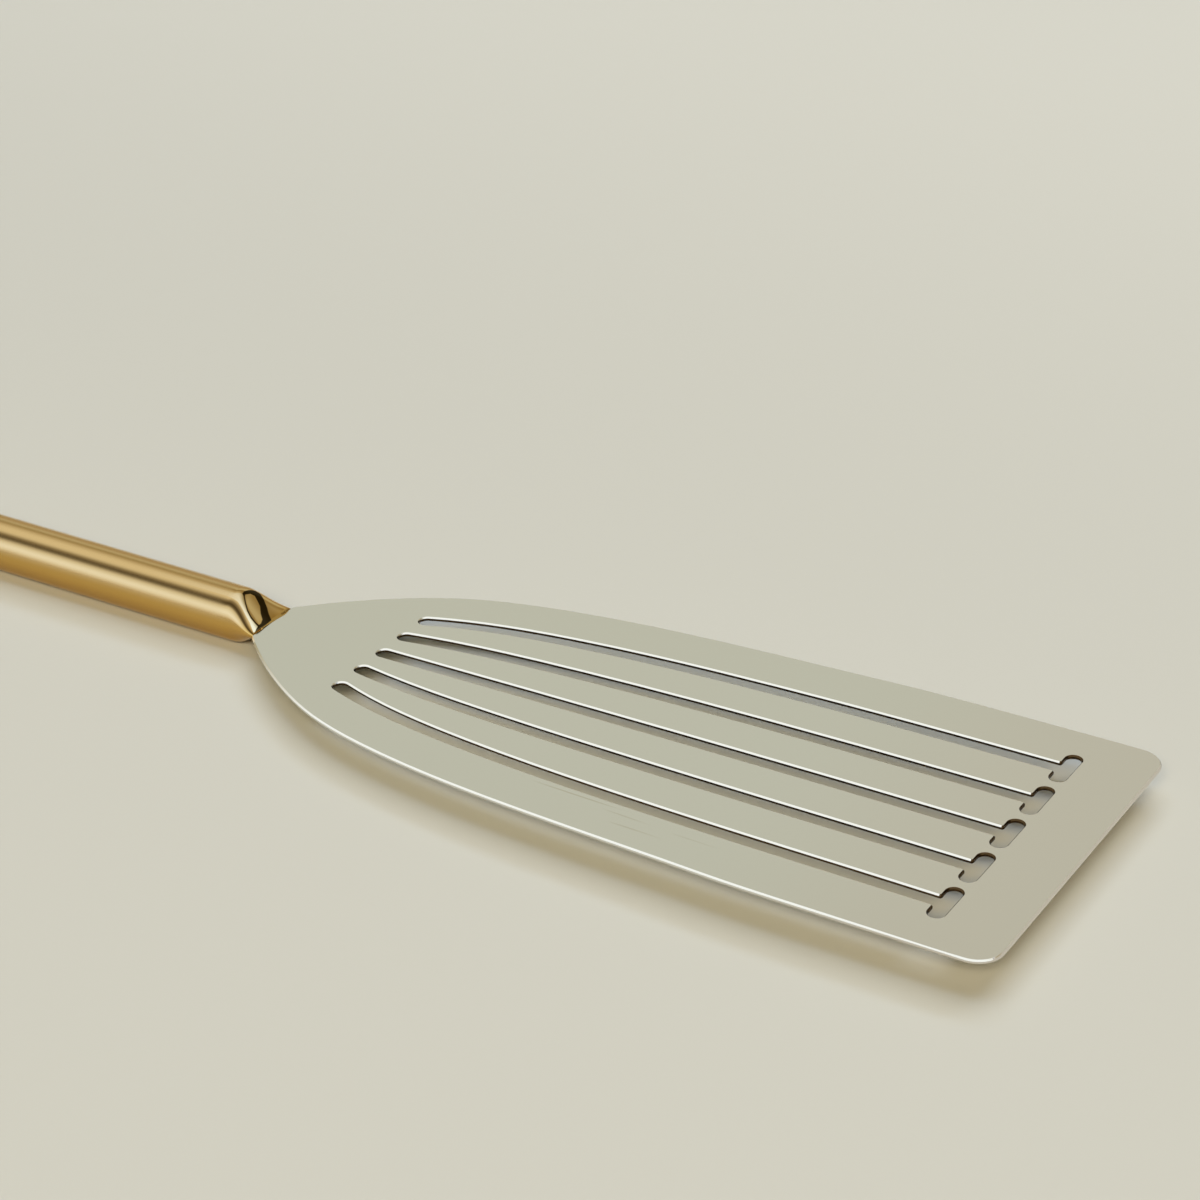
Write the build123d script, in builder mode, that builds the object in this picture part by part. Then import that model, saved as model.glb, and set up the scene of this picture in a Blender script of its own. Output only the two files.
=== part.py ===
from build123d import *

import os
from math import pi

# Fish spatula: a slotted stainless blade whose tang is set in a pressed brass tube.
# The handle's axis runs along X, from the hanging end to the blade's tip, and Z is up.
# The origin is on the surface that the handle lies on, under the middle of the spatula.

os.makedirs("parts", exist_ok=True)

# Blade, a sheet that is cut out and bowed
blade_reach = 186.5  # from the handle's mouth to the tip
blade_width = 82.2
sheet = 1.0  # thickness
tip_lift = 1.75  # how far the sheet rises from the mouth to the tip
bow = 0.44  # how far its middle stands above a straight line
tip_corner = 5.5  # radius of the two front corners
neck_half_width = 7.3  # where the outline leaves the handle's mouth
sheet_edge_break = 0.3  # how far its cut edges are broken
tang_length = 26.0
tang_clearance = 0.25  # between the tang's edges and the tube's bore
tang_corner = 1.5

# Slots, which fan out from the neck and end in cross holes
slot_rows = 2  # on each side of the middle one
slot_pitch = 13.4  # spacing at the cross holes
slot_width = 3.3
slot_start = 27.4  # from the mouth to the slots' rounded ends
cross_hole_setback = 15.8  # from the tip to the cross holes' centre line
cross_hole_length = 10.6
cross_hole_width = 3.2
slot_corner = 0.5  # where a slot opens into its cross hole

# Handle, a tube that is pressed to a wedge in front and flat at the back
handle_length = 240.0
tube_diameter = 12.0
tube_wall = 2.0
wedge_length = 8.6  # the stretch that leaves the round tube
facet_length = 7.0  # the flats that are pressed on its top and underside
facet_dish = 0.25  # how hollow each flat is
mouth_half_width = 6.9
mouth_half_height = 1.75  # of the oval, before the flats are pressed
lip_half_height = 1.25  # at the flats' front edge
lip_length = 1.5  # the stretch that grips the tang
lip_clearance = 0.05  # between each lip and the tang
hang_flat_length = 17.0
hang_end_radius = 9.5  # how its end is rounded, seen from above
hang_taper = 20.0  # from the round tube to the flat
hang_hole_diameter = 5.5
hang_hole_setback = 7.5  # from the tube's end to the hole's centre
hang_edge_break = 0.3
press_gap = 0.3  # what is left of the bore where its walls meet
overrun = 4.0  # how far a cut passes through what it cuts

# Places that follow from those sizes
mouth_x = (handle_length - blade_reach) / 2
tip_x = mouth_x + blade_reach
rear_x = mouth_x - handle_length
tube_radius = tube_diameter / 2
bore_radius = tube_radius - tube_wall
axis_z = tube_radius
tang_half_width = bore_radius - tang_clearance
half_sheet = sheet / 2
blade_half_width = blade_width / 2
cross_hole_x = tip_x - cross_hole_setback
slot_numbers = range(-slot_rows, slot_rows + 1)
round_length = handle_length - wedge_length - hang_flat_length - hang_taper
hang_flat_height = 2 * tube_wall
hang_slit_width = pi * bore_radius  # half the bore's girth
hang_flat_width = hang_slit_width + 2 * tube_wall
hang_drop = tube_radius - tube_wall  # so that the flat lies on the same surface as the tube

# The outline's shoulder, as shares of the blade's reach and of its half width
shoulder_shares = [
    (0.080, 0.477),
    (0.161, 0.684),
    (0.268, 0.823),
    (0.429, 0.919),
    (0.643, 0.975),
]
# How the slots close up towards the neck, as shares of the way from the middle of a slot's
# rounded end to its cross hole, and of the slots' pitch
fan_shares = [
    (0.000, 0.590),
    (0.077, 0.714),
    (0.219, 0.843),
    (0.430, 0.937),
    (0.711, 0.985),
    (1.000, 1.000),
]
# The wedge's sections: how far back from the mouth, as a share of its length, and their half
# width and half height, as shares of the tube's radius
wedge_shares = [
    (0.75, 1.003, 0.932),
    (0.45, 1.065, 0.690),
]


def fan_point(number, way_share, pitch_share):
    """A point on the centre line of a slot, counted from the middle slot."""
    first_x = mouth_x + slot_start + slot_width / 2
    return (first_x + way_share * (cross_hole_x - first_x), number * pitch_share * slot_pitch)


def slot_side(way, side):
    """The points of a slot's side, to the left (1) or right (-1) of its centre line."""
    points = []
    for way_share, pitch_share in fan_shares:
        ahead = way % way_share
        leftward = Vector(-ahead.Y, ahead.X)
        points.append((way @ way_share) + leftward * side * slot_width / 2)
    return points


def cross_plane(reach, drop=0):
    """The plane across the handle at a distance in front of the mouth, centred below its axis."""
    return Plane((mouth_x + reach, 0, axis_z - drop), x_dir=(0, 1, 0), z_dir=(1, 0, 0))


def is_slot_junction(corner):
    """A corner where a slot opens into its cross hole."""
    at_side = abs(corner.X - (cross_hole_x - cross_hole_width / 2)) < lip_clearance
    off_line = min(abs(corner.Y - number * slot_pitch) for number in slot_numbers)
    return at_side and off_line < (slot_width + cross_hole_length - cross_hole_width) / 4


def is_blade_rim(edge):
    """An edge between the sheet's broad faces and its cut sides."""
    direction = edge % 0.5
    return abs(direction.Z) < abs(direction.X) + abs(direction.Y)


def sheet_point(reach, side):
    """A point of the bowed sheet's upper (1) or lower (-1) face, seen from the side."""
    share = reach / blade_reach
    middle_z = axis_z + share * tip_lift + 4 * share * (1 - share) * bow
    return (mouth_x + reach, middle_z + side * half_sheet)


# Blade
with BuildSketch() as blade_plan:
    with BuildLine():
        shoulder = [(mouth_x, neck_half_width)]
        for reach_share, width_share in shoulder_shares:
            shoulder.append((mouth_x + reach_share * blade_reach, width_share * blade_half_width))
        shoulder.append((tip_x, blade_half_width))
        side = Spline(*shoulder, tangents=[(1, 1), (1, 0)])
        Line(side @ 1, (tip_x, 0))
        Line(side @ 0, (mouth_x, 0))
        mirror(about=Plane.XZ)
    make_face()
    front_corners = blade_plan.vertices().group_by(Axis.X)[-1]
    fillet(front_corners.filter_by(lambda corner: abs(corner.Y) > neck_half_width), tip_corner)
    with Locations((mouth_x, 0)):
        Rectangle(2 * tang_length, 2 * tang_half_width)
    fillet(blade_plan.vertices().group_by(Axis.X)[0], tang_corner)
    for number in slot_numbers:
        way = Spline(*[fan_point(number, *shares) for shares in fan_shares], mode=Mode.PRIVATE)
        left, right = slot_side(way, 1), slot_side(way, -1)
        with BuildLine():
            for points in (left, right):
                if number == 0:
                    Line(points[0], points[-1])
                else:
                    Spline(*points, tangents=[way % 0, way % 1])
            ThreePointArc(left[0], (way @ 0) - (way % 0) * slot_width / 2, right[0])
            Line(left[-1], right[-1])
        make_face(mode=Mode.SUBTRACT)
        with Locations((cross_hole_x, number * slot_pitch)):
            SlotOverall(cross_hole_length, cross_hole_width, rotation=90, mode=Mode.SUBTRACT)
    fillet(blade_plan.vertices().filter_by(is_slot_junction), slot_corner)

with BuildSketch(Plane.XZ) as bow_profile:
    with BuildLine():
        for side in (1, -1):
            ThreePointArc(
                sheet_point(-tang_length - overrun, side),
                sheet_point(blade_reach / 2, side),
                sheet_point(blade_reach + overrun, side),
            )
        for end in (-tang_length - overrun, blade_reach + overrun):
            Line(sheet_point(end, 1), sheet_point(end, -1))
    make_face()

with BuildPart() as blade:
    extrude(bow_profile.sketch, amount=blade_width, both=True)
    extrude(blade_plan.sketch, amount=tube_diameter + tip_lift, mode=Mode.INTERSECT)
    chamfer(blade.edges().filter_by(is_blade_rim), sheet_edge_break)

blade.part.label = "blade"
export_step(blade.part, "parts/blade.step")

# What the press leaves of the tube's bore: it closes on the tang in front and shuts at the back
with BuildSketch(Plane.XZ) as throat_profile:
    with BuildLine():
        Polyline(
            (mouth_x - wedge_length, axis_z),
            (mouth_x - wedge_length, axis_z + bore_radius),
            (mouth_x - lip_length, axis_z + half_sheet + lip_clearance),
            (mouth_x + overrun, axis_z + half_sheet + lip_clearance),
            (mouth_x + overrun, axis_z - half_sheet - lip_clearance),
            (mouth_x - lip_length, axis_z - half_sheet - lip_clearance),
            (mouth_x - wedge_length, axis_z - bore_radius),
            (mouth_x - wedge_length, axis_z),
        )
    make_face()

with BuildPart() as tube_throat:
    with BuildSketch(cross_plane(-wedge_length)):
        Circle(bore_radius)
    extrude(amount=wedge_length + overrun)
    extrude(throat_profile.sketch, amount=tube_diameter, both=True, mode=Mode.INTERSECT)

with BuildPart() as tube_bore:
    with BuildSketch(cross_plane(-wedge_length)):
        Circle(bore_radius)
    extrude(amount=-round_length)
    with BuildSketch(cross_plane(-wedge_length - round_length)):
        Circle(bore_radius)
    with BuildSketch(cross_plane(hang_flat_length - handle_length, hang_drop)):
        Ellipse(hang_slit_width / 2, press_gap / 2)
    loft()

# Handle tube
with BuildSketch(Plane.XZ) as press_profile:
    with BuildLine():
        dish_middle = (
            mouth_x - facet_length / 2,
            axis_z + (tube_radius + lip_half_height) / 2 - facet_dish,
        )
        flat_line = ThreePointArc(
            (mouth_x - facet_length, axis_z + tube_radius),
            dish_middle,
            (mouth_x, axis_z + lip_half_height),
        )
        Polyline(
            flat_line @ 1,
            (mouth_x + overrun, axis_z + lip_half_height),
            (mouth_x + overrun, axis_z + tube_radius + overrun),
            (mouth_x - facet_length, axis_z + tube_radius + overrun),
            flat_line @ 0,
        )
    make_face()
    mirror(about=Plane.XZ.offset(-axis_z))

with BuildSketch(Plane.XY.offset(-overrun)) as hang_plan:
    with Locations((rear_x + hang_end_radius, 0)):
        Circle(hang_end_radius)
    with Locations((mouth_x, 0)):
        Rectangle(2 * (handle_length - hang_end_radius), 2 * hang_end_radius)

with BuildPart() as handle_tube:
    with BuildSketch(cross_plane(-wedge_length)):
        Circle(tube_radius)
    for back_share, width_share, height_share in wedge_shares:
        with BuildSketch(cross_plane(-back_share * wedge_length)):
            Ellipse(width_share * tube_radius, height_share * tube_radius)
    with BuildSketch(cross_plane(0)):
        Ellipse(mouth_half_width, mouth_half_height)
    loft()
    with BuildSketch(cross_plane(-wedge_length)):
        Circle(tube_radius)
    extrude(amount=-round_length)
    with BuildSketch(cross_plane(-wedge_length - round_length)):
        Circle(tube_radius)
    with BuildSketch(cross_plane(hang_flat_length - handle_length, hang_drop)):
        SlotOverall(hang_flat_width, hang_flat_height)
    loft()
    with BuildSketch(cross_plane(hang_flat_length - handle_length, hang_drop)):
        SlotOverall(hang_flat_width, hang_flat_height)
    extrude(amount=-hang_flat_length)
    extrude(hang_plan.sketch, amount=tube_diameter + 2 * overrun, mode=Mode.INTERSECT)
    extrude(press_profile.sketch, amount=tube_diameter, both=True, mode=Mode.SUBTRACT)
    add(tube_bore.part, mode=Mode.SUBTRACT)
    add(tube_throat.part, mode=Mode.SUBTRACT)
    with Locations((rear_x + hang_hole_setback, 0, axis_z)):
        Hole(hang_hole_diameter / 2)
    end_rim = handle_tube.faces().sort_by(Axis.X)[0].edges()
    hole_rims = handle_tube.edges().filter_by(GeomType.CIRCLE).filter_by(
        lambda edge: abs(edge.arc_center.X - rear_x - hang_hole_setback) < press_gap
    )
    chamfer(end_rim + hole_rims, hang_edge_break)

handle_tube.part.label = "handle_tube"
export_step(handle_tube.part, "parts/handle_tube.step")
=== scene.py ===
from math import atan2, cos, pi, radians, sin

import bmesh
import bpy
from mathutils import Matrix, Vector


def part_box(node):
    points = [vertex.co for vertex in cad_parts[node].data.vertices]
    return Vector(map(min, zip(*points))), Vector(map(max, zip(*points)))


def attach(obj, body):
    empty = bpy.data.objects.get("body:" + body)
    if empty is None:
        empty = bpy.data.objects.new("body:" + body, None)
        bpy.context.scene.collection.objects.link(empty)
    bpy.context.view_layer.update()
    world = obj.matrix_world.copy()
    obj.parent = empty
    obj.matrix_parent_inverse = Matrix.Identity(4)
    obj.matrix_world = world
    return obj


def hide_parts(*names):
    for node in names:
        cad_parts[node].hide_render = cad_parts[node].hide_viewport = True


# A fish spatula: a slotted steel blade in the pressed mouth of a brass tube.
# Lengths are in metres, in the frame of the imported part: X runs along the handle to the
# blade's tip, Z is up, and the surface that the handle lies on is at zero.

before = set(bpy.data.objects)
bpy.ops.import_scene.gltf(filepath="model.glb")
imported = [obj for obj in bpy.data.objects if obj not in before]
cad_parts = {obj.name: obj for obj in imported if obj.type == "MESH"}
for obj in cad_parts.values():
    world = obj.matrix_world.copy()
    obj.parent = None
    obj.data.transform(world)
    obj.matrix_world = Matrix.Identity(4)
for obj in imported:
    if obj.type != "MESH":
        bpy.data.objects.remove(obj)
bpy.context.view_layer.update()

MM = 0.001

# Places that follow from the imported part
mouth_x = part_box("handle_tube")[1].x
rear_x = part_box("handle_tube")[0].x
handle_length = mouth_x - rear_x
tip_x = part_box("blade")[1].x
cross_holes_from = tip_x - 18.0 * MM

# The tube's pressed mouth
tube_radius = 6.0 * MM
wedge_length = 8.6 * MM
facet_length = 7.0 * MM
facet_dish = 0.25 * MM
facet_hollow_radius = 33.0 * MM
facet_hollow = 0.12 * MM
lip_half_height = 1.0 * MM
lip_rounding = 0.1 * MM
crease_softness = 0.45 * MM
# The wedge's sections: share of its length behind the mouth, half width and half height as
# shares of the tube's radius
wedge_shares = [(0.0, 1.150, 0.292), (0.45, 1.065, 0.690), (0.75, 1.003, 0.932), (1.0, 1.0, 1.0)]

# The blade's faces are told apart by how far they look up or down, and its bright broken edges
# by how far they look to the near side. Two faces whose directions agree less than the last
# number aren't shaded as one.
broad_from = 0.93
chamfer_from = 0.35
near_side_from = 0.35
agree_from = -0.1

# How far the blade's broken edges lean in the shading, beside the broad side and the cut side:
# those that face the near side, which carry a painted highlight, and the others
highlight_edge_leans = (radians(22), radians(30))
plain_edge_leans = (radians(60), radians(75))

# The tube's flat hanging end
hang_flat_length = 17.0 * MM
hang_taper = 20.0 * MM
hang_half_height = 2.0 * MM
hang_half_straight = 2 * pi * MM
hang_end_radius = 9.5 * MM
hang_hole_radius = 2.75 * MM
hang_hole_setback = 7.5 * MM
hang_edge_break = 0.3 * MM

# Where its forms begin, behind the mouth
flat_start = handle_length - hang_flat_length
taper_start = flat_start - hang_taper
rounding_start = handle_length - hang_end_radius

# How finely the handle is divided around its axis and along it
ring_points = 384
hole_points = 96
fine_length = 1.1 * wedge_length
lip_step = lip_rounding / 6
wedge_step = 0.1 * MM
shaft_step = 24 * MM
taper_step = 1.0 * MM
flat_step = 2.0 * MM
end_step = 0.25 * MM

# From which angle an edge of the handle is rounded, and from which it is shaded sharp
rounded_from = radians(60)
sharp_from = radians(35)

# Points of a mesh that are closer than this are one
weld_distance = 0.001 * MM

# Where the top of the mouth is painted: a painted dark reflection as a ring around a small leaf,
# and a painted highlight as a strip beside it. Distances are behind the mouth and to the left of
# the axis.
ring_outside_mm = [
    (6.9, -0.66), (7.05, 0.2), (6.75, 1.5), (6.2, 2.8), (5.2, 3.2), (3.9, 2.7), (2.3, 1.65),
    (1.25, 0.7), (0.2, 0.0), (-0.1, -0.2), (-0.1, -6.1), (0.1, -5.4), (0.3, -4.5), (1.17, -4.32),
    (2.47, -4.01), (3.87, -3.29), (5.19, -2.15), (6.38, -1.0),
]
ring_inside_mm = [
    (6.4, -0.33), (5.98, 0.95), (5.28, 1.42), (4.29, 1.0), (3.3, 0.47), (2.12, -0.95),
    (1.02, -1.9), (0.5, -3.15), (0.45, -3.9), (1.07, -3.95), (2.62, -3.53), (3.91, -2.87),
    (5.21, -1.74), (6.14, -0.8),
]
strip_mm = [
    (10.5, -1.6), (8.2, -1.5), (6.9, -0.75), (6.38, -1.05), (5.19, -2.2), (3.87, -3.34),
    (2.47, -4.06), (1.17, -4.37), (0.0, -4.5), (-0.1, -4.6), (-0.1, -6.5), (2.08, -4.94),
    (3.43, -4.31), (4.98, -3.52), (6.36, -2.98), (7.74, -2.87), (10.5, -2.7),
]
mark_softness = 0.08 * MM
mark_lowest_z = 6.75 * MM
marked_length = 2 * wedge_length

# The photograph's camera, found from the tube, the blade's outline and its slots
photo_side_px = 1200
focal_length_px = 3193.85
camera_pitch = radians(28.543)
camera_yaw = radians(31.407)
camera_roll = radians(0.673)
camera_ahead_of_mouth = 369.02 * MM
camera_side = -470.60 * MM
camera_height = 333.75 * MM
sensor_width_mm = 36.0

# The patch of faint scratches beside the near slot
scratch_middle = (mouth_x + 99 * MM, -30.5 * MM, 0)
scratch_patch = (32 * MM, 6 * MM, 40 * MM)
scratch_turn = radians(2)
scratch_stretch = (0.025, 1.0, 0.0)
scratch_threshold = (0.60, 0.70)

# The slow change of tone along the metal
tones_per_metre = 22.0

# The brass: its brushed lines, its roughness, and where the press leaves it polished, in wedge
# lengths behind the mouth. Its colour is darkened toward the lower half of the tube by painted
# shade, which stands for the shadowed floor that it reflects.
brass_lines = 9000.0
brass_line_stretch = 0.004
brass_line_strength = 0.12
brass_line_depth = 0.02 * MM
brass_roughness = 0.20
polished_roughness = 0.05
polished_line_share = 0.04
polish_starts = 1.25
polish_ends = 0.8
painted_shade_starts_z = 8.2 * MM
painted_shade_ends_z = 6.4 * MM

# The steel: the fine lines on its broad sides, the ridges on its cut sides, and the stretch
# before the tip over which a painted warm reflection turns its colour warmer
steel_lines = 6000.0
steel_line_stretch = 0.02
steel_line_strength = 0.05
steel_line_depth = 0.01 * MM
steel_roughness = 0.14
painted_warm_reflection_length = 70 * MM
ridges_per_metre = 2200.0
ridge_stretch = (1.0, 1.0, 0.08)
ridge_strength = 0.5
ridge_depth = 0.08 * MM
cut_edge_roughness = 0.22
bright_edge_roughness = 0.10

# The floor, and the distance to the far side over which painted light turns its tone lighter
floor_half_side = 6.0
floor_far_starts = 0.08
floor_far_ends = 0.50
floor_roughness = 0.9

# Colours, linear
floor_colour = (0.640, 0.626, 0.540)
# Painted light on the floor's far side
floor_far_painted_light_colour = (0.720, 0.701, 0.602)
brass_colour = (0.720, 0.500, 0.220)
brass_worn_colour = (0.690, 0.470, 0.200)
# Painted shade on the tube's lower half
brass_painted_shade_colour = (0.620, 0.377, 0.101)
# Painted dark reflection in the mouth's crease
painted_reflection_ring_colour = (0.040, 0.026, 0.008)
# Painted highlight beside the mouth's crease
painted_highlight_strip_colour = (0.980, 0.930, 0.720)
steel_colour = (0.780, 0.765, 0.720)
# Painted warm reflection toward the tip
steel_painted_warm_reflection_colour = (0.765, 0.715, 0.665)
steel_scratch_colour = (0.640, 0.600, 0.520)
# Dark cut sides: partly the steel's own oxide, partly painted shade
cut_edge_oxide_and_shade_colour = (0.100, 0.060, 0.026)
# Painted highlight on the broken edges that face the near side
painted_highlight_edge_colour = (0.980, 0.950, 0.880)
room_fill_colour = (0.06, 0.05, 0.03)

# The softboxes: name, direction from the mouth, sides in metres, power and colour. The overhead
# and far ones are narrow, so that the light they send through the slots misses what shows there.
softbox_distance = 6.0
softboxes = [
    ("wide_softbox", (0.0, 0.36, 0.93), (5.6, 5.6), 340.0, (0.525, 0.540, 0.565)),
    ("overhead_softbox", (0.0, -0.070, 0.998), (5.6, 1.6), 62.0, (0.398, 0.562, 0.885)),
    ("far_softbox", (0.0, 0.682, 0.731), (5.6, 1.3), 82.0, (0.398, 0.562, 0.885)),
    ("front_softbox", (0.36, -0.72, 0.595), (3.0, 1.4), 520.0, (0.537, 0.473, 0.352)),
]

# What the polished metal sees of the studio, by the angle from straight overhead: positive
# angles lean to the far side of the spatula, negative ones to the near side
studio_bands = [
    (90, (0.48, 0.40, 0.25)),
    (67, (0.49, 0.42, 0.27)),
    (59, (0.64, 0.65, 0.55)),
    (50, (0.64, 0.65, 0.55)),
    (45, (0.38, 0.33, 0.20)),
    (41, (0.38, 0.33, 0.20)),
    (30, (0.68, 0.67, 0.58)),
    (14, (0.93, 0.97, 0.97)),
    (-6, (0.93, 0.97, 0.98)),
    (-17, (0.34, 0.32, 0.26)),
    (-28, (0.09, 0.075, 0.05)),
    (-36, (0.20, 0.19, 0.16)),
    (-45, (0.85, 0.92, 0.98)),
    (-58, (1.10, 1.30, 1.70)),
    (-68, (1.18, 1.42, 2.00)),
    (-79, (1.00, 1.12, 1.35)),
    (-90, (0.66, 0.64, 0.55)),
]


def new_material(name):
    """An empty material, its node tree, its shader and the object's coordinates."""
    material = bpy.data.materials.new(name)
    material.use_nodes = True
    tree = material.node_tree
    shader = tree.nodes["Principled BSDF"]
    place = tree.nodes.new("ShaderNodeTexCoord").outputs["Object"]
    return material, tree, shader, place


def add_node(tree, kind, inputs=None, **settings):
    """A node with its settings and its inputs, which are values or other nodes' outputs."""
    node = tree.nodes.new(kind)
    for name, value in settings.items():
        setattr(node, name, value)
    for name, value in (inputs or {}).items():
        if isinstance(value, bpy.types.NodeSocket):
            tree.links.new(value, node.inputs[name])
        else:
            node.inputs[name].default_value = value
    return node


def mixed_colour(tree, share, first, second):
    """A colour between two others, which are colours or other nodes' outputs."""
    mix = tree.nodes.new("ShaderNodeMix")
    mix.data_type = "RGBA"
    sockets = (mix.inputs[0], mix.inputs[6], mix.inputs[7])
    for socket, value in zip(sockets, (share, first, second)):
        if isinstance(value, bpy.types.NodeSocket):
            tree.links.new(value, socket)
        elif isinstance(value, tuple):
            socket.default_value = (*value, 1)
        else:
            socket.default_value = value
    return mix.outputs[2]


def new_group(name, inputs, outputs):
    """A shader node group with named number or vector inputs and number outputs."""
    group = bpy.data.node_groups.new(name, "ShaderNodeTree")
    for socket_name, kind, value in inputs:
        socket = group.interface.new_socket(socket_name, in_out="INPUT", socket_type=kind)
        if value is not None:
            socket.default_value = value
    for socket_name in outputs:
        group.interface.new_socket(socket_name, in_out="OUTPUT", socket_type="NodeSocketFloat")
    return group, group.nodes.new("NodeGroupInput"), group.nodes.new("NodeGroupOutput")


def brushed_grain_group():
    """Fine straight lines along X, as a height and as a slow change of tone."""
    group, given, result = new_group(
        "brushed_grain",
        [
            ("Place", "NodeSocketVector", None),
            ("Lines", "NodeSocketFloat", 5000.0),
            ("Stretch", "NodeSocketFloat", 0.01),
        ],
        ("Height", "Tone"),
    )
    stretch = add_node(
        group, "ShaderNodeCombineXYZ", {"X": given.outputs["Stretch"], "Y": 1.0, "Z": 1.0}
    )
    lines_place = add_node(
        group,
        "ShaderNodeVectorMath",
        {0: given.outputs["Place"], 1: stretch.outputs["Vector"]},
        operation="MULTIPLY",
    )
    lines = add_node(
        group,
        "ShaderNodeTexNoise",
        {
            "Vector": lines_place.outputs["Vector"],
            "Scale": given.outputs["Lines"],
            "Detail": 2.0,
            "Roughness": 0.6,
        },
    )
    tone = add_node(
        group,
        "ShaderNodeTexNoise",
        {"Vector": given.outputs["Place"], "Scale": tones_per_metre, "Detail": 2.0},
    )
    group.links.new(lines.outputs["Fac"], result.inputs["Height"])
    group.links.new(tone.outputs["Fac"], result.inputs["Tone"])
    return group


def fine_scratches_group():
    """Short faint scratches along the blade, within one patch near its near edge."""
    group, given, result = new_group(
        "fine_scratches",
        [
            ("Place", "NodeSocketVector", None),
            ("Scratches", "NodeSocketFloat", 1000.0),
        ],
        ("Mask",),
    )
    slanted = add_node(
        group,
        "ShaderNodeVectorRotate",
        {"Vector": given.outputs["Place"], "Angle": scratch_turn},
        rotation_type="Z_AXIS",
    )
    stretched = add_node(
        group,
        "ShaderNodeVectorMath",
        {0: slanted.outputs["Vector"], 1: scratch_stretch},
        operation="MULTIPLY",
    )
    lines = add_node(
        group,
        "ShaderNodeTexNoise",
        {
            "Vector": stretched.outputs["Vector"],
            "Scale": given.outputs["Scratches"],
            "Detail": 1.0,
            "Distortion": 0.3,
        },
    )
    thin = add_node(
        group,
        "ShaderNodeMapRange",
        {
            "Value": lines.outputs["Fac"],
            "From Min": scratch_threshold[0],
            "From Max": scratch_threshold[1],
        },
    )
    from_middle = add_node(
        group,
        "ShaderNodeVectorMath",
        {0: given.outputs["Place"], 1: scratch_middle},
        operation="SUBTRACT",
    )
    scaled = add_node(
        group,
        "ShaderNodeVectorMath",
        {0: from_middle.outputs["Vector"], 1: scratch_patch},
        operation="DIVIDE",
    )
    reach = add_node(
        group, "ShaderNodeVectorMath", {0: scaled.outputs["Vector"]}, operation="LENGTH"
    )
    patch = add_node(
        group,
        "ShaderNodeMapRange",
        {"Value": reach.outputs["Value"], "From Min": 1.0, "From Max": 0.5},
        interpolation_type="SMOOTHSTEP",
    )
    mask = add_node(
        group,
        "ShaderNodeMath",
        {0: thin.outputs["Result"], 1: patch.outputs["Result"]},
        operation="MULTIPLY",
    )
    group.links.new(mask.outputs["Value"], result.inputs["Mask"])
    return group


brushed_grain = brushed_grain_group()
fine_scratches = fine_scratches_group()


def brass_material():
    """Satin brushed brass, polished bright where the mouth is pressed, with painted shade, a
    painted reflection and a painted highlight in its colour.
    """
    material, tree, shader, place = new_material("satin_brass")
    grain = add_node(tree, "ShaderNodeGroup", {}, node_tree=brushed_grain)
    tree.links.new(place, grain.inputs["Place"])
    grain.inputs["Lines"].default_value = brass_lines
    grain.inputs["Stretch"].default_value = brass_line_stretch
    parts = add_node(tree, "ShaderNodeSeparateXYZ", {"Vector": place})
    polish = add_node(
        tree,
        "ShaderNodeMapRange",
        {
            "Value": parts.outputs["X"],
            "From Min": mouth_x - polish_starts * wedge_length,
            "From Max": mouth_x - polish_ends * wedge_length,
        },
        interpolation_type="SMOOTHSTEP",
    )
    roughness = add_node(
        tree,
        "ShaderNodeMapRange",
        {
            "Value": polish.outputs["Result"],
            "To Min": brass_roughness,
            "To Max": polished_roughness,
        },
    )
    tree.links.new(roughness.outputs["Result"], shader.inputs["Roughness"])
    # Painted shade: the brass colour turns deeper toward the lower half of the tube
    painted_underside_shade = add_node(
        tree,
        "ShaderNodeMapRange",
        {
            "Value": parts.outputs["Z"],
            "From Min": painted_shade_starts_z,
            "From Max": painted_shade_ends_z,
        },
        interpolation_type="SMOOTHSTEP",
    )
    # The painted dark reflection ring and the painted highlight strip on the mouth
    ring = add_node(tree, "ShaderNodeAttribute", attribute_name="painted_reflection_ring").outputs["Fac"]
    strip = add_node(tree, "ShaderNodeAttribute", attribute_name="painted_highlight_strip").outputs["Fac"]
    colour = mixed_colour(tree, grain.outputs["Tone"], brass_colour, brass_worn_colour)
    colour = mixed_colour(tree, painted_underside_shade.outputs["Result"], colour, brass_painted_shade_colour)
    colour = mixed_colour(tree, strip, colour, painted_highlight_strip_colour)
    colour = mixed_colour(tree, ring, colour, painted_reflection_ring_colour)
    tree.links.new(colour, shader.inputs["Base Color"])
    left_brushed = add_node(
        tree,
        "ShaderNodeMapRange",
        {"Value": polish.outputs["Result"], "To Min": 1.0, "To Max": polished_line_share},
    )
    height = add_node(
        tree,
        "ShaderNodeMath",
        {0: grain.outputs["Height"], 1: left_brushed.outputs["Result"]},
        operation="MULTIPLY",
    )
    bump = add_node(
        tree,
        "ShaderNodeBump",
        {
            "Height": height.outputs["Value"],
            "Strength": brass_line_strength,
            "Distance": brass_line_depth,
        },
    )
    tree.links.new(bump.outputs["Normal"], shader.inputs["Normal"])
    shader.inputs["Metallic"].default_value = 1.0
    return material


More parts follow.
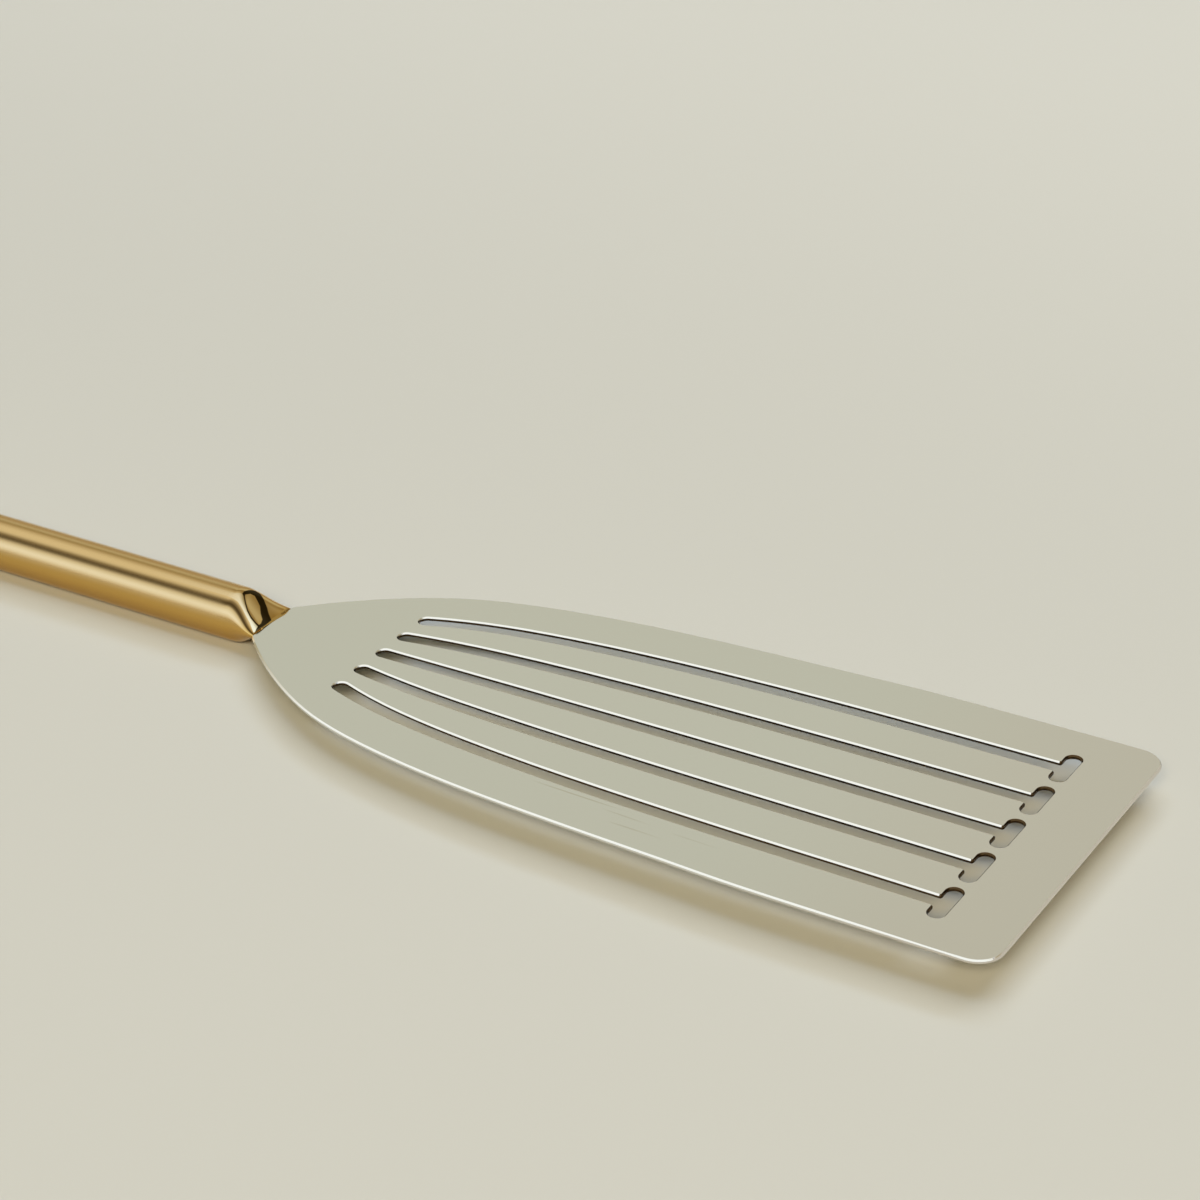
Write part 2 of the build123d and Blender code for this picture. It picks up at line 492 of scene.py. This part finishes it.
def steel_material():
    """Polished stainless sheet with a very fine grain, a few faint scratches and a painted warm
    reflection toward its tip.
    """
    material, tree, shader, place = new_material("polished_steel")
    grain = add_node(tree, "ShaderNodeGroup", {}, node_tree=brushed_grain)
    tree.links.new(place, grain.inputs["Place"])
    grain.inputs["Lines"].default_value = steel_lines
    grain.inputs["Stretch"].default_value = steel_line_stretch
    parts = add_node(tree, "ShaderNodeSeparateXYZ", {"Vector": place})
    # Painted reflection: the steel's colour turns warmer toward the tip
    to_tip = add_node(
        tree,
        "ShaderNodeMapRange",
        {
            "Value": parts.outputs["X"],
            "From Min": tip_x - painted_warm_reflection_length,
            "From Max": tip_x,
        },
        interpolation_type="SMOOTHSTEP",
    )
    colour = mixed_colour(tree, to_tip.outputs["Result"], steel_colour, steel_painted_warm_reflection_colour)
    scratches = add_node(tree, "ShaderNodeGroup", {}, node_tree=fine_scratches)
    tree.links.new(place, scratches.inputs["Place"])
    colour = mixed_colour(tree, scratches.outputs["Mask"], colour, steel_scratch_colour)
    tree.links.new(colour, shader.inputs["Base Color"])
    bump = add_node(
        tree,
        "ShaderNodeBump",
        {
            "Height": grain.outputs["Height"],
            "Strength": steel_line_strength,
            "Distance": steel_line_depth,
        },
    )
    tree.links.new(bump.outputs["Normal"], shader.inputs["Normal"])
    shader.inputs["Metallic"].default_value = 1.0
    shader.inputs["Roughness"].default_value = steel_roughness
    return material


def cut_edge_oxide_and_shade_material():
    """The raw cut sides of the blade's slots, with the fine ridges that cutting leaves, and a
    dark colour that is partly the steel's own oxide and partly painted shade.
    """
    material, tree, shader, place = new_material("cut_steel_edge_and_painted_shade")
    ridges_place = add_node(
        tree,
        "ShaderNodeVectorMath",
        {0: place, 1: ridge_stretch},
        operation="MULTIPLY",
    )
    ridges = add_node(
        tree,
        "ShaderNodeTexNoise",
        {"Vector": ridges_place.outputs["Vector"], "Scale": ridges_per_metre, "Detail": 1.0},
    )
    bump = add_node(
        tree,
        "ShaderNodeBump",
        {
            "Height": ridges.outputs["Fac"],
            "Strength": ridge_strength,
            "Distance": ridge_depth,
        },
    )
    tree.links.new(bump.outputs["Normal"], shader.inputs["Normal"])
    # Partly the cut steel's own dark oxide, partly painted shade
    shader.inputs["Base Color"].default_value = (*cut_edge_oxide_and_shade_colour, 1)
    shader.inputs["Metallic"].default_value = 1.0
    shader.inputs["Roughness"].default_value = cut_edge_roughness
    return material


def painted_highlight_edge_material():
    """The sheet's broken edges that face the near side, given a brighter colour than its broad
    sides as a painted highlight.
    """
    material, _, shader, _ = new_material("steel_edge_painted_highlight")
    # Painted highlight: a brighter colour than the broad sides
    shader.inputs["Base Color"].default_value = (*painted_highlight_edge_colour, 1)
    shader.inputs["Metallic"].default_value = 1.0
    shader.inputs["Roughness"].default_value = bright_edge_roughness
    return material


def is_broad(face):
    """Whether a face of the blade lies on the sheet's upper or lower side."""
    return abs(face.normal.z) > broad_from


def is_chamfer(face):
    """Whether a face of the blade breaks the edge between a broad side and a cut side."""
    return chamfer_from < abs(face.normal.z) <= broad_from


def is_bright(face):
    """Whether a face of the blade is a broken edge that faces the near side."""
    return is_chamfer(face) and face.normal.y < -near_side_from


def face_reach(face):
    """How far a face lies toward the blade's tip."""
    return face.calc_center_median().x


def is_dark_cut_and_shade(face):
    """Whether a face in a slot takes the dark colour that is in part painted shade: its cut side
    and all below it, or, as painted shade only, any face of a cross hole's edge."""
    if is_broad(face):
        return False
    return face.normal.z < chamfer_from or face_reach(face) > cross_holes_from


def outer_rim(shape):
    """The faces of the edge that runs around the blade, without those of its slots."""
    waiting = [max((face for face in shape.faces if not is_broad(face)), key=face_reach)]
    found = set(waiting)
    while waiting:
        for edge in waiting.pop().edges:
            for face in edge.link_faces:
                if face not in found and not is_broad(face):
                    found.add(face)
                    waiting.append(face)
    return found


def shading_normal(vert, face):
    """The direction that a face of the blade is shaded by at one of its corners."""
    total = Vector()
    for other in vert.link_faces:
        agreement = other.normal.dot(face.normal)
        if is_chamfer(other) == is_chamfer(face) and agreement > agree_from:
            total += other.normal * other.calc_area()
    if not is_chamfer(face):
        return total.normalized()
    leans = highlight_edge_leans if is_bright(face) else plain_edge_leans
    lean = leans[0] if any(is_broad(other) for other in vert.link_faces) else leans[1]
    outward = Vector((total.x, total.y, 0)).normalized() * sin(lean)
    return Vector((outward.x, outward.y, cos(lean) if face.normal.z > 0 else -cos(lean)))


def slotted_blade():
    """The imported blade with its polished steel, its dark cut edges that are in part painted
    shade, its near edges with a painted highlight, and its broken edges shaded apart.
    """
    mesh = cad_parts["blade"].data.copy()
    mesh.materials.clear()
    mesh.materials.append(steel_material())
    mesh.materials.append(cut_edge_oxide_and_shade_material())
    mesh.materials.append(painted_highlight_edge_material())
    shape = bmesh.new()
    shape.from_mesh(mesh)
    bmesh.ops.remove_doubles(shape, verts=shape.verts, dist=weld_distance)
    rim = outer_rim(shape)
    polished, dark_cut_and_shade, bright = range(3)
    for face in shape.faces:
        face.smooth = True
        face.material_index = bright if is_bright(face) else polished
        # Painted shade: faces below the cut sides and the cross holes' broken edges take the dark
        # cut colour
        if face not in rim and is_dark_cut_and_shade(face):
            face.material_index = dark_cut_and_shade
    normals = [shading_normal(vert, face) for face in shape.faces for vert in face.verts]
    shape.to_mesh(mesh)
    shape.free()
    for name in ("custom_normal", "sharp_edge", "sharp_face"):
        if name in mesh.attributes:
            mesh.attributes.remove(mesh.attributes[name])
    mesh.normals_split_custom_set(normals)
    piece = bpy.data.objects.new("slotted_blade", mesh)
    bpy.context.scene.collection.objects.link(piece)
    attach(piece, "root")
    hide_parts("blade")


def floor():
    """The pale matte surface that the spatula lies on."""
    mesh = bpy.data.meshes.new("floor")
    shape = bmesh.new()
    bmesh.ops.create_grid(shape, x_segments=1, y_segments=1, size=floor_half_side)
    shape.to_mesh(mesh)
    shape.free()
    piece = bpy.data.objects.new("floor", mesh)
    bpy.context.scene.collection.objects.link(piece)
    material, tree, shader, place = new_material("pale_floor")
    parts = add_node(tree, "ShaderNodeSeparateXYZ", {"Vector": place})
    far = add_node(
        tree,
        "ShaderNodeMapRange",
        {
            "Value": parts.outputs["Y"],
            "From Min": floor_far_starts,
            "From Max": floor_far_ends,
        },
        interpolation_type="SMOOTHSTEP",
    )
    # Painted light: the floor turns lighter toward the far side
    colour = mixed_colour(tree, far.outputs["Result"], floor_colour, floor_far_painted_light_colour)
    tree.links.new(colour, shader.inputs["Base Color"])
    shader.inputs["Roughness"].default_value = floor_roughness
    shader.inputs["Specular IOR Level"].default_value = 0.0
    mesh.materials.append(material)


def soft_lamp(name, direction, sides, power, colour):
    """A softbox that faces the mouth. The metal sees it through the studio's bands."""
    lamp = bpy.data.lights.new(name, "AREA")
    lamp.shape = "RECTANGLE"
    lamp.size, lamp.size_y = sides
    lamp.energy = power
    lamp.color = colour
    holder = bpy.data.objects.new(name, lamp)
    bpy.context.scene.collection.objects.link(holder)
    target = Vector((mouth_x, 0, 0))
    toward = Vector(direction).normalized()
    holder.location = target + softbox_distance * toward
    holder.rotation_mode = "QUATERNION"
    holder.rotation_quaternion = toward.to_track_quat("Z", "Y")
    holder.visible_glossy = False
    holder.visible_camera = False


def studio():
    """The room: the bands that the metal reflects, and a little warm light from all sides."""
    world = bpy.data.worlds.new("studio")
    bpy.context.scene.world = world
    world.use_nodes = True
    tree = world.node_tree
    background = tree.nodes["Background"]
    direction = add_node(tree, "ShaderNodeTexCoord").outputs["Generated"]
    parts = add_node(tree, "ShaderNodeSeparateXYZ", {"Vector": direction})
    lean = add_node(
        tree,
        "ShaderNodeMath",
        {0: parts.outputs["Y"], 1: parts.outputs["Z"]},
        operation="ARCTAN2",
    )
    share = add_node(
        tree,
        "ShaderNodeMapRange",
        {"Value": lean.outputs["Value"], "From Min": radians(-90), "From Max": radians(90)},
    )
    ramp = add_node(tree, "ShaderNodeValToRGB", {"Fac": share.outputs["Result"]})
    stops = ramp.color_ramp.elements
    while len(stops) > 1:
        stops.remove(stops[-1])
    for number, (angle, colour) in enumerate(reversed(studio_bands)):
        position = (angle + 90) / 180
        stop = stops[0] if number == 0 else stops.new(position)
        stop.position = position
        stop.color = (*colour, 1)
    path = add_node(tree, "ShaderNodeLightPath")
    sees_room = add_node(
        tree,
        "ShaderNodeMath",
        {0: path.outputs["Is Glossy Ray"], 1: path.outputs["Is Camera Ray"]},
        operation="MAXIMUM",
    )
    seen = sees_room.outputs["Value"]
    room = mixed_colour(tree, seen, room_fill_colour, ramp.outputs["Color"])
    tree.links.new(room, background.inputs["Color"])


def camera():
    """The photograph's camera, from the place and angles that were found from it."""
    turn = Matrix.Rotation(camera_yaw, 3, "Z")
    tilt = Matrix.Rotation(pi / 2 - camera_pitch, 3, "X")
    roll = Matrix.Rotation(-camera_roll, 3, "Z")
    lens = bpy.data.cameras.new("camera")
    lens.sensor_width = sensor_width_mm
    lens.lens = sensor_width_mm * focal_length_px / photo_side_px
    lens.clip_start = 1.0 * MM
    lens.clip_end = 50.0
    holder = bpy.data.objects.new("camera", lens)
    bpy.context.scene.collection.objects.link(holder)
    place = Vector((mouth_x + camera_ahead_of_mouth, camera_side, camera_height))
    holder.matrix_world = Matrix.Translation(place) @ (turn @ tilt @ roll).to_4x4()
    bpy.context.scene.camera = holder


def through_points(points, share):
    """The smooth curve through a few points, read at a share."""
    total = 0.0
    for here, value in points:
        weight = 1.0
        for other, _ in points:
            if other != here:
                weight *= (share - other) / (here - other)
        total += weight * value
    return total


def soft_lower(first, second, softness):
    """The lower of two heights, with the crease between them rounded."""
    overlap = max(softness - abs(first - second), 0.0) / softness
    return min(first, second) - overlap * overlap * softness / 4


def mouth_point(back, turn):
    """A point of the round tube or of its pressed mouth, across the handle's axis."""
    share = min(back / wedge_length, 1.0)
    widths = [(at, width) for at, width, _ in wedge_shares]
    heights = [(at, height) for at, _, height in wedge_shares]
    half_width = tube_radius * through_points(widths, share)
    half_height = tube_radius * through_points(heights, share)
    rounding = 0.0
    if back < lip_rounding:
        rounding = lip_rounding - (lip_rounding ** 2 - (lip_rounding - back) ** 2) ** 0.5
    side = (half_width - rounding) * cos(turn)
    height = (half_height - rounding) * sin(turn)
    along = back / facet_length
    facet = lip_half_height + (tube_radius - lip_half_height) * along - rounding
    facet += side * side / (2 * facet_hollow_radius) - facet_hollow
    if along < 1:
        facet -= 4 * along * (1 - along) * facet_dish
    pressed = soft_lower(abs(height), facet, crease_softness)
    return side, tube_radius + (pressed if height > 0 else -pressed)


def hang_point(back, turn):
    """A point of the hanging end, which is pressed flat and rounded off, seen from above."""
    quarter = abs(((turn / (pi / 2)) + 1) % 2 - 1)
    arc_share = hang_half_height * pi / 2 / (hang_half_height * pi / 2 + hang_half_straight)
    if quarter < arc_share:
        bend = quarter / arc_share * pi / 2
        side = hang_half_straight + hang_half_height * cos(bend)
        height = hang_half_height * sin(bend)
    else:
        side = hang_half_straight * (1 - quarter) / (1 - arc_share)
        height = hang_half_height
    side = side if cos(turn) > 0 else -side
    height = height if sin(turn) > 0 else -height
    to_end = handle_length - back
    if to_end < hang_end_radius:
        reach = (hang_end_radius ** 2 - (hang_end_radius - to_end) ** 2) ** 0.5
        side = max(-reach, min(reach, side))
    return side, hang_half_height + height


def handle_point(back, turn):
    """A point of the handle's skin, by its distance behind the mouth and its turn."""
    share = max(0.0, min(1.0, (back - taper_start) / hang_taper))
    front = mouth_point(back, turn)
    rear = hang_point(back, turn)
    return (
        mouth_x - back,
        front[0] + share * (rear[0] - front[0]),
        front[1] + share * (rear[1] - front[1]),
    )


def spaced(first, last, step):
    """Distances from the first to the last, about a step apart."""
    count = max(1, round((last - first) / step))
    return [first + (last - first) * number / count for number in range(count + 1)]


def mark_share(plan, outline_mm):
    """How far a point is within an outline, from 0 outside to 1 inside, with a soft border."""
    inside = False
    nearest = 1.0
    for number, ends in enumerate(outline_mm):
        first = Vector(ends) * MM
        second = Vector(outline_mm[number - 1]) * MM
        if (first.y > plan.y) != (second.y > plan.y):
            share = (plan.y - first.y) / (second.y - first.y)
            if plan.x < first.x + share * (second.x - first.x):
                inside = not inside
        along = second - first
        share = max(0.0, min(1.0, (plan - first).dot(along) / along.dot(along)))
        nearest = min(nearest, (first + share * along - plan).length)
    depth = nearest if inside else -nearest
    return max(0.0, min(1.0, 0.5 + depth / mark_softness))


def handle_mesh():
    """The handle as rings of a unit tube, which are then moved to where the press leaves them."""
    backs = spaced(0, lip_rounding, lip_step)
    backs += spaced(lip_rounding, fine_length, wedge_step)[1:]
    backs += spaced(fine_length, taper_start, shaft_step)[1:]
    backs += spaced(taper_start, flat_start, taper_step)[1:]
    backs += spaced(flat_start, rounding_start, flat_step)[1:]
    backs += spaced(rounding_start, handle_length, end_step)[1:]
    shape = bmesh.new()
    bmesh.ops.create_circle(shape, segments=ring_points, radius=1.0)
    edges = list(shape.edges)
    for _ in backs[1:]:
        grown = bmesh.ops.extrude_edge_only(shape, edges=edges)["geom"]
        verts = [part for part in grown if isinstance(part, bmesh.types.BMVert)]
        bmesh.ops.translate(shape, vec=(0, 0, 1), verts=verts)
        edges = [part for part in grown if isinstance(part, bmesh.types.BMEdge)]
    open_edges = [edge for edge in shape.edges if edge.is_boundary]
    bmesh.ops.holes_fill(shape, edges=open_edges, sides=0)
    for vert in shape.verts:
        turn = atan2(vert.co.y, vert.co.x)
        vert.co = handle_point(backs[round(vert.co.z)], turn)
    bmesh.ops.remove_doubles(shape, verts=shape.verts, dist=weld_distance)
    bmesh.ops.dissolve_degenerate(shape, edges=shape.edges, dist=weld_distance)
    bmesh.ops.recalc_face_normals(shape, faces=shape.faces)
    # Painted dark reflection ring and painted highlight strip on the top of the mouth, as shares
    # at each point
    ring = shape.verts.layers.float.new("painted_reflection_ring")
    strip = shape.verts.layers.float.new("painted_highlight_strip")
    for vert in shape.verts:
        plan = Vector((mouth_x - vert.co.x, vert.co.y))
        if vert.co.z > mark_lowest_z and plan.x < marked_length:
            outside = mark_share(plan, ring_outside_mm)
            vert[ring] = min(outside, 1 - mark_share(plan, ring_inside_mm))
            left = 1 - plan.x / (polish_starts * wedge_length)
            vert[strip] = mark_share(plan, strip_mm) * left
    mesh = bpy.data.meshes.new("brass_handle")
    shape.to_mesh(mesh)
    shape.free()
    return mesh


def hole_cutter():
    """The upright cylinder that cuts the hanging hole."""
    shape = bmesh.new()
    bmesh.ops.create_cone(
        shape,
        cap_ends=True,
        segments=hole_points,
        radius1=hang_hole_radius,
        radius2=hang_hole_radius,
        depth=8 * hang_half_height,
    )
    bmesh.ops.translate(
        shape, vec=(rear_x + hang_hole_setback, 0, hang_half_height), verts=shape.verts
    )
    mesh = bpy.data.meshes.new("hang_hole_cutter")
    shape.to_mesh(mesh)
    shape.free()
    cutter = bpy.data.objects.new("hang_hole_cutter", mesh)
    bpy.context.scene.collection.objects.link(cutter)
    return cutter


def finished_mesh(piece):
    """The piece's mesh with its modifiers applied."""
    graph = bpy.context.evaluated_depsgraph_get()
    return bpy.data.meshes.new_from_object(piece.evaluated_get(graph))


def brass_handle():
    """The brass tube with its pressed mouth and its hanging end."""
    piece = bpy.data.objects.new("brass_handle", handle_mesh())
    bpy.context.scene.collection.objects.link(piece)
    cutter = hole_cutter()
    cut = piece.modifiers.new("hang_hole", "BOOLEAN")
    cut.operation = "DIFFERENCE"
    cut.solver = "EXACT"
    cut.object = cutter
    rounding = piece.modifiers.new("broken_edges", "BEVEL")
    rounding.width = hang_edge_break
    rounding.segments = 2
    rounding.limit_method = "ANGLE"
    rounding.angle_limit = rounded_from
    piece.data = finished_mesh(piece)
    piece.modifiers.clear()
    bpy.data.objects.remove(cutter)
    piece.data.shade_smooth()
    piece.data.set_sharp_from_angle(angle=sharp_from)
    piece.data.materials.append(brass_material())
    weighted = piece.modifiers.new("even_shading", "WEIGHTED_NORMAL")
    weighted.mode = "FACE_AREA"
    weighted.keep_sharp = True
    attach(piece, "root")
    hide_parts("handle_tube")


slotted_blade()
brass_handle()
floor()
for softbox in softboxes:
    soft_lamp(*softbox)
studio()
camera()
bpy.context.scene.view_settings.view_transform = "Standard"
